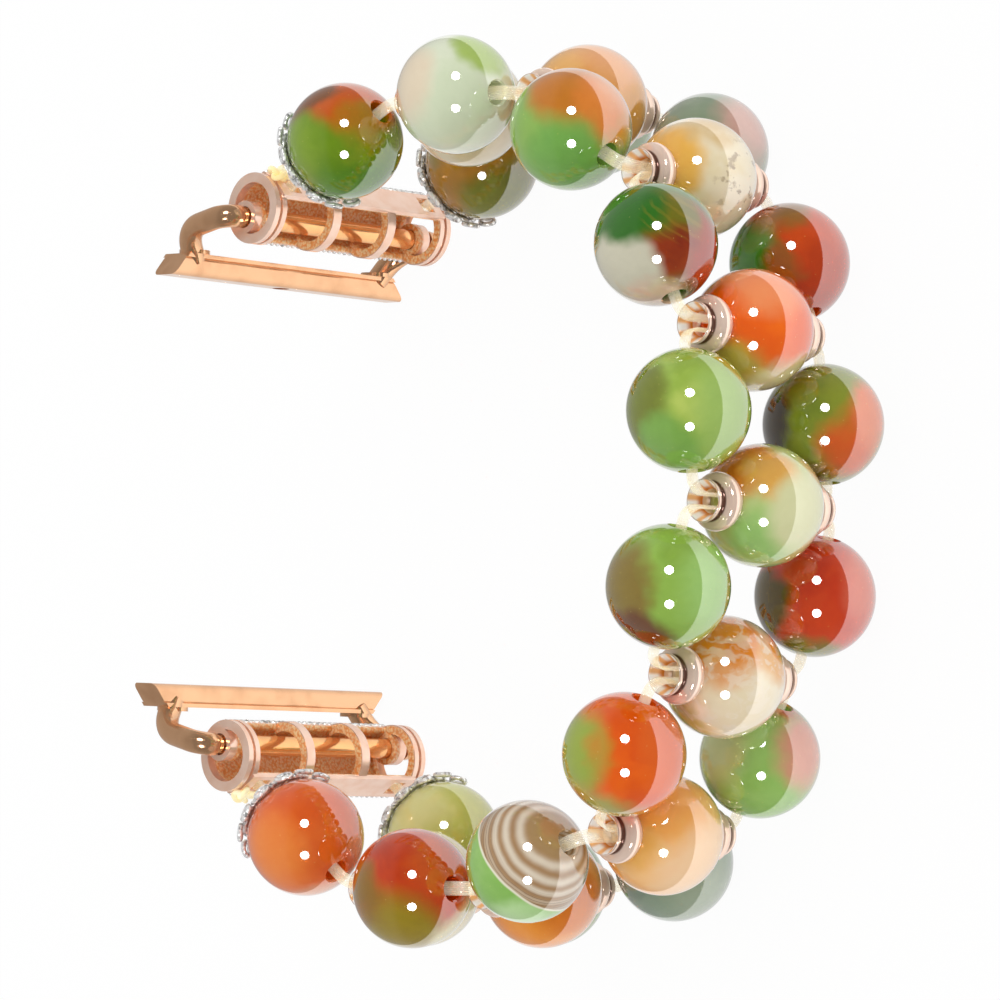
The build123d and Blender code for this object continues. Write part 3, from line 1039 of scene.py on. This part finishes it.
def chosen_stones() -> dict[str, tuple[Agate, ...]]:
    """Chooses the stones.

    Returns:
        Stones of the near, far and cross beads, each row from the upper end piece on.
    """

    def stone(ground: str, second: str, *patches: tuple[str, Triple, float, float],
              figure: Figure = Figure.CLOUD) -> Agate:
        """Stone with its patches, in the order of a Patch's attributes."""
        return Agate(ground, second, tuple(Patch(*patch) for patch in patches), figure)

    near = (
        stone("6A8E0C", "7E9410", ("C25400", (0.2, 0.85, 0.55), 50, 10), ("7A4206", (-0.6, 0.75, 0.3), 26, 12),
              ("7A9A1E", (-0.75, -0.05, 0.6), 26, 14), ("54860A", (0.2, -0.85, 0.5), 34, 18),
              ("A07A0E", (0.35, 0.2, 0.9), 22, 14)),
        stone("DCE3CA", "D6E0C2", ("A4BE62", (0.45, 0.75, 0.45), 34, 8), ("E4D4BA", (-0.9, 0.1, 0.4), 36, 14)),
        stone("80AC4E", "88B252", ("C27620", (-0.02, 0.72, 0.68), 44, 16), ("DC8030", (0.7, 0.3, 0.62), 34, 14),
              ("E6A47C", (0.8, 0.6, 0.1), 34, 16), ("74AC4E", (-0.1, -0.6, 0.8), 34, 18)),
        stone("3C7216", "34680E", ("9A3A04", (0.42, 0.0, 0.9), 44, 12), ("6E6A0C", (0.22, 0.55, 0.8), 24, 14),
              ("7E2002", (0.36, -0.16, 0.9), 16, 14), ("CBC7B2", (-0.55, -0.55, 0.62), 42, 8),
              ("D8B6A0", (0.1, -0.9, 0.4), 26, 12), ("2C6A14", (-0.42, 0.55, 0.72), 26, 14),
              ("A8321A", (0.85, -0.3, 0.4), 30, 12), figure=Figure.STREAKS),
        stone("9AB84C", "8FAC42", ("737E26", (-0.85, 0.05, 0.5), 36, 10), ("B6CA62", (0.05, 0.0, 1.0), 14, 12),
              ("7CAA4C", (-0.35, -0.55, 0.75), 24, 14), ("9CBC62", (0.7, 0.0, 0.7), 36, 20)),
        stone("90B64E", "86AA42", ("84702C", (-0.8, 0.0, 0.55), 40, 12), ("6A3F1C", (-0.45, -0.8, 0.4), 26, 12),
              ("9AC46C", (0.75, 0.0, 0.6), 34, 20)),
        stone("EC6206", "E05402", ("96A83C", (-0.85, 0.1, 0.5), 38, 16), ("C08A2A", (-0.36, 0.1, 0.9), 14, 14),
              ("A8A048", (-0.3, -0.9, 0.3), 28, 14), ("E06018", (0.8, 0.1, 0.55), 34, 18)),
        stone("86BA56", "92C066", ("B4DA98", (-0.1, -0.9, 0.4), 26, 12), figure=Figure.EYE),
        stone("C23C02", "B63402", ("968018", (-0.3, -0.75, 0.55), 44, 22), ("8A6414", (-0.85, -0.15, 0.4), 26, 16),
              ("CC5210", (0.5, 0.5, 0.7), 24, 14), ("D8CFA0", (0.85, -0.6, 0.1), 34, 10)),
        stone("E66A20", "DE5A14", ("EC8438", (-0.5, -0.3, 0.8), 34, 20), ("E8A27C", (0.2, -0.95, 0.1), 30, 12)),
    )
    far = (
        stone("A8761A", "8E7418", ("BC841C", (-0.1, 0.3, 0.95), 36, 18), ("7A7E24", (0.3, -0.7, 0.6), 36, 16)),
        stone("7FA060", "90A86A"),
        stone("98A490", "86967E", ("CCA094", (0.7, 0.4, 0.5), 36, 18)),
        stone("C64402", "B63A02", ("3F7A1A", (-0.8, 0.0, 0.55), 42, 12), ("8A5C12", (-0.1, 0.85, 0.45), 26, 14),
              ("98561A", (-0.15, -0.1, 0.97), 16, 12)),
        stone("84902A", "788A26", ("D65C1E", (0.5, -0.35, 0.75), 34, 14), ("E0784A", (0.8, 0.1, 0.5), 28, 14),
              ("3A2C10", (-0.9, -0.1, 0.4), 30, 12), ("6A3A14", (-0.3, -0.85, 0.4), 24, 12)),
        stone("C83810", "D04214", ("5A4A18", (-0.9, -0.1, 0.4), 32, 10), ("7A7A28", (-0.2, -0.95, 0.25), 26, 12),
              ("D86A50", (0.85, 0.1, 0.4), 34, 16)),
        stone("8ABA56", "96C266", ("B8C88A", (-0.8, 0.2, 0.5), 36, 18), ("D8927C", (0.75, 0.15, 0.6), 34, 16),
              ("D0401E", (0.3, 0.92, 0.25), 26, 10), ("C8C890", (-0.2, 0.85, 0.4), 26, 16)),
        stone("768A78", "869A84", ("9AA892", (0.5, -0.5, 0.6), 34, 20)),
        stone("6A9A44", "90A050"),
        stone("C6C862", "D2D078", ("DCD890", (-0.5, 0.6, 0.6), 34, 20)),
    )
    cross = (
        stone("E4D6B4", "D8C89C"),
        stone("E29A44", "E8AE64", ("E8A878", (0.5, 0.75, 0.4), 40, 20), ("DC9838", (0.8, -0.3, 0.5), 28, 14)),
        stone("E8D6AC", "EFE2C6", ("EAB250", (-0.5, 0.3, 0.8), 34, 14), ("D8B882", (0.2, 0.85, 0.45), 24, 12),
              figure=Figure.MOSS),
        stone("F86E0A", "F06006", ("C0A848", (-0.3, -0.85, 0.45), 42, 16), ("F4905A", (0.2, 0.8, 0.6), 30, 20),
              ("DCCB9E", (0.45, -0.8, 0.4), 26, 14)),
        stone("BFCB7C", "C8D090", ("DA7A1E", (-0.45, 0.65, 0.6), 34, 16), ("E0A850", (0.1, 0.5, 0.85), 20, 14),
              ("9FC874", (-0.1, -0.55, 0.82), 26, 16), ("D8D8A8", (0.7, -0.2, 0.68), 34, 16)),
        stone("EEDDBB", "F3E6CA", ("E8881E", (-0.1, 0.62, 0.78), 44, 12), ("B8B050", (-0.7, -0.7, 0.2), 26, 14),
              ("E6A648", (0.85, 0.3, 0.4), 24, 12), figure=Figure.SWIRL),
        stone("F8B25C", "FAC27E", ("ECAE4C", (-0.7, 0.1, 0.7), 34, 18), ("FAD0A4", (0.5, -0.5, 0.7), 34, 20)),
        stone("EE902A", "F4A444", ("DE7A1A", (0.5, -0.2, 0.8), 28, 18)),
        stone("E0D2A0", "EADFBC"),
    )
    return {"near": near, "far": far, "cross": cross}


@dataclass
class AgateBeads:
    """Beads of the two edge rows and the cross beads between them.

    Attributes:
        seeds: Number before the first seed of the near, the far and the cross row.
    """

    plan: BandPlan
    seeds: tuple[int, int, int] = (0, 20, 40)

    def build(self) -> None:
        """Gives every bead its stone."""
        plan = self.plan
        beads: dict[tuple[str, int], tuple[Agate, Vector, int]] = {}
        for seed, (row, stones) in zip(self.seeds, chosen_stones().items()):
            places = getattr(plan, row)
            for k, stone in enumerate(stones, 1):
                beads[row, k] = (stone, places[k], seed + k)
        LOG.info("beads: %d stones", len(beads))
        for k, place in ((1, "top"), (plan.LINKS, "bottom")):
            pair = [beads.pop((row, k)) for row in ("near", "far")]
            dress(f"end_beads_{place}", agate_material(f"agate_end_{place}", pair, plan.radius))
        for (row, k), bead in beads.items():
            dress(f"{row}_bead_{k:02d}", agate_material(f"agate_{row}_{k:02d}", [bead], plan.radius))


@dataclass
class ElasticCords:
    """Flat elastic cord that runs through the beads in one ring for each link.

    Attributes:
        give: Length beside a bar; a point is worked out from it but not used.
        lap: Length before a pivot; a point is worked out from it but not used.
    """

    plan: BandPlan
    offset: float = 0.52 * MM
    bend: float = 1.3 * MM
    hairpin: float = 0.8 * MM
    hook: float = 0.77 * MM
    fibre_radius: float = 0.1 * MM
    spacing: float = 0.165 * MM
    fibres: int = 7
    arc_steps: int = 9
    step: float = 0.2 * MM
    give: float = 2.2 * MM
    lap: float = 0.9 * MM

    def loop(self, start: float, end: float, half: float, bends: Span) -> list[Span]:
        """Points of a closed loop with round corners, along the band and across it.

        Args:
            start: Place of one end along the link.
            end: Place of the other end.
            half: Half its width across the band.
            bends: Radii of its corners at the start and the end.

        Returns:
            Pairs of places along and across.
        """
        points: list[Span] = []
        corners = (
            (start, half, bends[0], 180.0), (end, half, bends[1], 90.0),
            (end, -half, bends[1], 0.0), (start, -half, bends[0], -90.0),
        )
        for along, across, bend, first in corners:
            middle_along = along + bend if along == start else along - bend
            middle_across = across - math.copysign(bend, across)
            for step in range(self.arc_steps + 1):
                angle = math.radians(first - 90 * step / self.arc_steps)
                points.append((middle_along + bend * math.cos(angle), middle_across + bend * math.sin(angle)))
        return points

    def ring(self, k: int) -> list[Vector]:
        """Path of a link's cord.

        Args:
            k: Number of the link.

        Returns:
            Points round the ring.
        """
        plan = self.plan
        centre, way, half = plan.centre(k), plan.heading(k), plan.row_half(k)
        first, last = k == 1, k == plan.LINKS
        before = (centre - plan.pivots[k - 1]).length
        after = (plan.pivots[k] - centre).length
        start = -(before + self.hook) if first else -(before - self.offset)
        end = after + self.hook if last else after - self.offset
        bends = (self.hairpin if first else self.bend, self.hairpin if last else self.bend)
        return [centre + way * along + upright(across) for along, across in self.loop(start, end, half, bends)]

    def parts(self, k: int) -> list[tuple[str, list[Vector], bool]]:
        """Name, path and whether it closes, for each part of a link's cord.

        Args:
            k: Number of the link.

        Returns:
            One closed ring, or for the first link two halves that meet inside its beads.
        """
        ring, n = self.ring(k), self.arc_steps + 1
        name = f"elastic_bundle_{k:02d}"
        if k > 1:
            return [(name, ring, True)]
        centre, half = self.plan.centre(k), upright(self.plan.row_half(k))
        near, far = centre + half, centre - half
        return [
            (name, [near, *ring[n:3 * n], far], False),
            (f"{name}_bar_side", [far, *ring[3 * n:], *ring[:n], near], False),
        ]

    def build(self) -> None:
        """Makes each link's bundle as a plain mesh."""
        material = ClearElastic().build("elastic_fibre")
        bundle = fibre_recipe()
        plan = self.plan
        for k in range(1, plan.LINKS + 1):
            way, link = plan.heading(k), f"link_{k:02d}"
            across = Vector((-way.y, way.x, 0))
            for name, path, closed in self.parts(k):
                piece = bundle.run(
                    name, [path], closed, material, Fibre_Radius=self.fibre_radius, Spacing=self.spacing,
                    Fibres=self.fibres, Across=tuple(across), Step=self.step,
                )
                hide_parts(f"elastic_cord_{k:02d}")
                if name.endswith("bar_side"):
                    start = plan.pivots[0] + way * self.give
                    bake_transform(piece)
                elif k == plan.LINKS:
                    start = plan.pivots[k] - way * self.give
                    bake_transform(piece)
                else:
                    end = plan.pivots[k] - way * self.lap
                    tuple(plan.centre(k))
                    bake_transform(piece)
        LOG.info("cords: %d bundles", plan.LINKS)


@dataclass
class FiligreeCaps:
    """Openwork caps of silver wire on the end beads.

    Attributes:
        ring_places: Degrees off the cap's axis and round it, for the rings of one petal.
        leaves: Shares of a petal's width at which a wire runs round it.
        leaf_waist: How much wider a petal is towards the cap's axis than in its middle.
        scrolls: Degrees off the axis and round it, size in degrees, turns and hand, for
            the scrolls of one petal.
        scroll_end: Share of a scroll's size that it has lost at its inner end.
    """

    plan: BandPlan
    silver: bpy.types.Material
    gap: float = 0.33 * MM
    wire: float = 0.19 * MM
    ring_wire: float = 0.22 * MM
    ring_lift: float = 0.3 * MM
    ring_size: float = 6.4
    ring_places: tuple[Span, ...] = ((50.5, 0.0), (52.0, 30.0))
    petals: int = 6
    inner_polar: float = 13.0
    outer_polar: float = 46.0
    petal_half: float = 23.0
    leaves: Span = (1.0, 0.62)
    leaf_waist: float = 0.25
    scrolls: tuple[tuple[float, float, float, float, int], ...] = (
        (34.0, 0.0, 4.6, 1.6, 1), (41.0, 30.0, 4.0, 1.4, -1), (26.0, 30.0, 3.4, 1.2, 1),
    )
    scroll_end: float = 0.8
    hub_polar: float = 11.0
    rim_polar: float = 43.0
    rim_wave: float = 2.6

    def on_ball(self, polar: float, around: float, lift: float = 0.0) -> Vector:
        """Point over the bead, from degrees off the cap's axis and round it."""
        r, p, a = self.plan.radius + self.gap + lift, math.radians(polar), math.radians(around)
        return Vector((r * math.sin(p) * math.cos(a), r * math.sin(p) * math.sin(a), r * math.cos(p)))

    def leaf(self, share: float, steps: int = 40) -> list[Vector]:
        """Outline of a petal.

        Args:
            share: Share of the petal's size.
            steps: Steps round it.

        Returns:
            Points of the outline.
        """
        centre, half = (self.inner_polar + self.outer_polar) / 2, (self.outer_polar - self.inner_polar) / 2
        points = []
        for step in range(steps + 1):
            t = FULL_TURN * step / steps
            width = self.petal_half * share * math.sin(t) * (1 + self.leaf_waist * math.cos(t))
            points.append(self.on_ball(centre - math.cos(t) * share * half, width))
        return points

    def scroll(self, polar: float, around: float, size: float, turns: float, hand: int) -> list[Vector]:
        """Spiral that curls in round a point.

        Args:
            polar: Degrees of the point off the cap's axis.
            around: Degrees of the point round the axis.
            size: Radius of the spiral's outer end, in degrees.
            turns: Its turns.
            hand: 1 or -1, for the way that it curls.

        Returns:
            Points of the spiral.
        """
        points, steps, spread = [], int(24 * turns), math.sin(math.radians(polar))
        for step in range(steps + 1):
            t = step / steps
            angle, r = hand * FULL_TURN * turns * t, size * (1 - self.scroll_end * t)
            points.append(self.on_ball(polar + r * math.cos(angle), around + r * math.sin(angle) / spread))
        return points

    def petal_wires(self) -> list[list[Vector]]:
        """Wires of one petal."""
        return [self.leaf(share) for share in self.leaves] + [self.scroll(*scroll) for scroll in self.scrolls]

    def petal_rings(self, steps: int = 20) -> list[list[Vector]]:
        """Small rings that stand proud on one petal's tip and beside it.

        Args:
            steps: Steps round a ring.

        Returns:
            Points of each ring.
        """
        turns, size = [FULL_TURN * step / steps for step in range(steps + 1)], self.ring_size
        rings = []
        for polar, around in self.ring_places:
            spread = math.sin(math.radians(polar))
            rings.append([
                self.on_ball(polar + size * math.cos(t), around + size * math.sin(t) / spread, self.ring_lift)
                for t in turns
            ])
        return rings

    def circle(self, polar: float, wave: float = 0.0, steps: int = 120) -> list[Vector]:
        """Closed ring round the cap, wavy with its petals.

        Args:
            polar: Degrees off the cap's axis.
            wave: How far it swings in and out, in degrees.
            steps: Steps round the cap.

        Returns:
            Points of the ring.
        """
        return [
            self.on_ball(polar + wave * math.cos(math.radians(self.petals * 360 * i / steps)), 360 * i / steps)
            for i in range(steps)
        ]

    def build(self) -> None:
        """Makes a pair of caps at each end of the band."""
        rosette, rope = rosette_recipe(), rope_recipe()
        layers = (("lace", self.petal_wires(), self.wire), ("loops", self.petal_rings(), self.ring_wire))
        circles = [self.circle(self.hub_polar), self.circle(self.rim_polar, self.rim_wave)]
        for place, k, side in (("top", 1, -1), ("bottom", self.plan.LINKS, 1)):
            toward = self.plan.heading(k) * side
            turn = toward.to_track_quat("Z", "Y").to_matrix().to_4x4()
            parts = []
            for centre in (self.plan.near[k], self.plan.far[k]):
                cap = [
                    rosette.run(name, paths, False, self.silver, Petals=self.petals, Wire_Radius=wire)
                    for name, paths, wire in layers
                ]
                cap.append(rope.run("rim", circles, True, self.silver, Strand_Radius=0.13 * MM, Lay_Radius=0.12 * MM,
                                    Pitch=0.95 * MM, Step=0.12 * MM))
                for part in cap:
                    part.data.transform(Matrix.Translation(centre) @ turn)
                parts.extend(cap)
            piece = joined(f"filigree_caps_{place}", parts)
            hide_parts(f"bead_caps_{place}")
            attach(piece, f"link_{k:02d}")
            LOG.info("caps %s: %d faces", place, len(piece.data.polygons))


def joined(name: str, parts: Sequence[bpy.types.Object]) -> bpy.types.Object:
    """Joins plain mesh pieces of one material into one piece.

    Args:
        name: Name of the joined piece.
        parts: Pieces at the origin, which are used up.

    Returns:
        The joined piece.
    """
    verts: list[Triple] = []
    faces: list[list[int]] = []
    for part in parts:
        first = len(verts)
        verts.extend(tuple(v.co) for v in part.data.vertices)
        faces.extend([first + i for i in polygon.vertices] for polygon in part.data.polygons)
    mesh = bpy.data.meshes.new(name)
    mesh.from_pydata(verts, [], faces)
    mesh.materials.append(parts[0].data.materials[0])
    mesh.shade_smooth()
    for part in parts:
        bpy.data.objects.remove(part)
    return linked(name, mesh)


@dataclass
class EndPiece:
    """Cast cage at one end of the band, with its rope trim and spring bar.

    Attributes:
        tail: Places of a cut end's bends along, across and out of the bar, in knot sizes.
    """

    place: str
    side: int
    heading: float
    silver: bpy.types.Material
    radius: float = 3.1 * MM
    half: float = 10.621 * MM
    disc: float = 1.3 * MM
    eyelet_offset: float = 1.25 * MM
    trim_angles: Span = (45.0, 195.0)
    trim_reach: float = 9.55 * MM
    trim_sink: float = 0.02 * MM
    knot_angle: float = 20.0
    knot_lift: float = 0.45 * MM
    knot_place: float = 9.5 * MM
    knot_size: float = 0.27 * MM
    knot_wire: float = 0.25 * MM
    tail: tuple[Triple, ...] = ((1.5, -1.2, 0.2), (2.6, -2.4, 0.7), (3.4, -3.8, 0.9))

    @property
    def end(self) -> str:
        """Which end of the band it is, as its joints and body are named."""
        return "upper" if self.side > 0 else "lower"

    @property
    def body(self) -> str:
        """Name of the body that the cage is."""
        return f"{self.end}_end_piece"

    def turned(self, angle: float) -> float:
        """Angle in radians from the X axis, of degrees from the bead side round the cage."""
        return math.radians(self.heading + self.side * angle)

    def axis(self) -> Vector:
        """Middle of the cage on its axis."""
        return joint_place(f"{self.end}_adapter_hinge") + level(self.turned(0)) * self.eyelet_offset

    def rope(self) -> None:
        """Lays the twisted rope along both edges of the solid plate."""
        axis, paths = self.axis(), []
        for angle in self.trim_angles:
            foot = axis + level(self.turned(angle)) * (self.radius - self.trim_sink)
            paths.append([foot + upright(z) for z in (-self.trim_reach, self.trim_reach)])
        piece = rope_recipe().run(f"rope_trim_{self.place}", paths, False, self.silver, Strand_Radius=0.2 * MM,
                                  Lay_Radius=0.19 * MM, Pitch=1.25 * MM)
        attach(piece, self.body)

    def knot(self, steps: int = 60) -> None:
        """Ties the cord's knot, with two cut ends, on the bar beside the near window."""
        angle = self.turned(self.knot_angle)
        out, along = level(angle), level(angle + math.pi / 2)
        at = self.axis() + out * (self.radius + self.knot_lift) + upright(self.knot_place)

        def place(x: float, y: float, z: float) -> Vector:
            """Point of the knot, from places along, across and out of the bar in knot sizes."""
            return at + (along * x + upright(y) + out * z) * self.knot_size

        loop = [
            place(math.sin(t) + 2 * math.sin(2 * t), math.cos(t) - 2 * math.cos(2 * t), -math.sin(3 * t))
            for t in (FULL_TURN * step / steps for step in range(steps))
        ]
        tails = [[place(hand * x, y, z) for x, y, z in self.tail] for hand in (-1, 1)]
        recipe, cord = wire_recipe(), ClearElastic("FCE8AA", "FFFADC", 0.2).build(f"knot_fibre_{self.place}")
        parts = [
            recipe.run("loop", [loop], True, cord, Wire_Radius=self.knot_wire),
            recipe.run("tails", tails, False, cord, Wire_Radius=self.knot_wire),
        ]
        piece = joined(f"cord_knot_{self.place}", parts)
        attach(piece, self.body)

    def build(self) -> None:
        """Dresses the cage and its spring bar, and adds the trim and the knot."""
        gold = CastGold()
        cage = gold.cage(f"cast_gold_{self.place}", self.axis(), self.radius, self.half, self.disc)
        dress(f"end_piece_{self.place}", cage)
        self.rope()
        self.knot()
        bar = gold.turned(f"bar_gold_{self.place}", "F8BC80", "A85E2A")
        for part in ("barrel", "near_tip", "far_tip"):
            dress(f"spring_bar_{part}_{self.place}", bar)
        LOG.info("end piece %s", self.place)


@dataclass
class CoilSprings:
    """Coil springs of the spring bars, each wound in two halves."""

    wire: float = 0.11 * MM
    turns: int = 24
    steps: int = 20

    def half_coil(self, centre: Vector, mean: float, reach: float) -> list[Vector]:
        """Wire's path from the middle of a spring to one end.

        Args:
            centre: Middle of the spring.
            mean: Radius of the coil.
            reach: Height of the end over the middle, negative for the far one.

        Returns:
            Points along the wire.
        """
        hand, count = math.copysign(1, reach), self.turns // 2 * self.steps
        path = []
        for step in range(count + 1):
            angle = FULL_TURN * step / self.steps
            path.append(centre + Vector((
                mean * math.cos(angle), hand * mean * math.sin(angle), reach * step / count)))
        return path

    def build(self) -> None:
        """Winds both springs."""
        recipe, gold = wire_recipe(), CastGold().turned("spring_gold", "F8BC80", "A85E2A")
        for place, end in (("top", "upper"), ("bottom", "lower")):
            node = f"spring_bar_spring_{place}"
            low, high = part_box(node)
            centre, half = (low + high) / 2, (high - low) / 2
            for tip, hand in (("near", 1), ("far", -1)):
                reach = hand * (half.z - self.wire)
                path = self.half_coil(centre, min(half.x, half.y) - self.wire, reach)
                piece = recipe.run(f"half_coil_{tip}_{place}", [path], False, gold, Wire_Radius=self.wire)
                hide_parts(node)
                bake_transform(piece)
        LOG.info("springs: wound")


@dataclass
class SlideInAdapters:
    """Rails that slide into a slot, with their bent arms."""

    def build(self) -> None:
        """Dresses both adapters."""
        for place in ("top", "bottom"):
            dress(f"case_adapter_{place}", CastGold().turned(f"adapter_gold_{place}", "E6B48A", "A06432"))
        LOG.info("slide-in adapters")


@dataclass
class Rondelles:
    """Turned spacers at the ends of the cross beads: a flared mouth, a groove and a wider ring.

    Attributes:
        outline: Radius and height of the section's points in millimetres, the height
            away from the cross bead, from the bore round the mouth, groove and ring.
    """

    finish: FlutedGold = FlutedGold()
    count: int = 9
    half: float = 1.25 * MM
    sides: int = 56
    outline: tuple[Span, ...] = (
        (1.0, 0.25), (1.56, 1.16), (1.64, 1.24), (1.73, 1.24), (1.77, 1.12), (1.7, 0.86), (1.54, 0.68), (1.47, 0.52),
        (1.53, 0.38), (1.8, 0.29), (2.12, 0.18), (2.32, -0.06), (2.4, -0.4), (2.34, -0.78), (2.2, -1.08),
        (2.06, -1.24), (1.97, -1.22), (1.0, -0.75),
    )

    def ring(self, body: bmesh.types.BMesh, centre: Vector, side: int) -> None:
        """Turns one rondelle about its upright axis.

        Args:
            body: Mesh that it goes into.
            centre: Its centre.
            side: 1 where its mouth faces up, and -1 where it faces down.
        """
        rows = []
        for step in range(self.sides):
            way = level(FULL_TURN * step / self.sides)
            rows.append([body.verts.new(centre + (way * r + upright(side * h)) * MM) for r, h in self.outline])
        count = len(self.outline)
        for step, row in enumerate(rows):
            after = rows[(step + 1) % self.sides]
            for i in range(count):
                j = (i + 1) % count
                body.faces.new((row[i], row[j], after[j], after[i]))

    def build(self) -> None:
        """Turns every pair and gives it its finish."""
        for k in range(1, self.count + 1):
            node = f"rondelles_{k:02d}"
            low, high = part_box(node)
            centre = (low + high) / 2
            reach = (high.z - low.z) / 2 - self.half
            body = bmesh.new()
            for side in (1, -1):
                self.ring(body, centre + upright(side * reach), side)
            bmesh.ops.recalc_face_normals(body, faces=body.faces)
            mesh = bpy.data.meshes.new(f"turned_rondelles_{k:02d}")
            body.to_mesh(mesh)
            body.free()
            mesh.shade_smooth()
            mesh.materials.append(self.finish.build(f"rondelle_gold_{k:02d}", centre, reach))
            piece = linked(mesh.name, mesh)
            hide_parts(node)
            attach(piece, f"rondelle_pair_{k:02d}")
        LOG.info("rondelles: %d pairs", self.count)


def main() -> None:
    """Builds the room, then each sub-assembly in order."""
    logging.basicConfig(level=logging.INFO, format="%(message)s")
    CAMERA.build()
    StudioRoom().build()
    plan = BandPlan()
    silver = BrightSilver().build("bright_silver")
    AgateBeads(plan).build()
    ElasticCords(plan).build()
    FiligreeCaps(plan, silver).build()
    EndPiece("top", 1, 37.0, silver).build()
    EndPiece("bottom", -1, -49.0, silver).build()
    CoilSprings().build()
    SlideInAdapters().build()
    Rondelles().build()


if __name__ == "__main__":
    main()
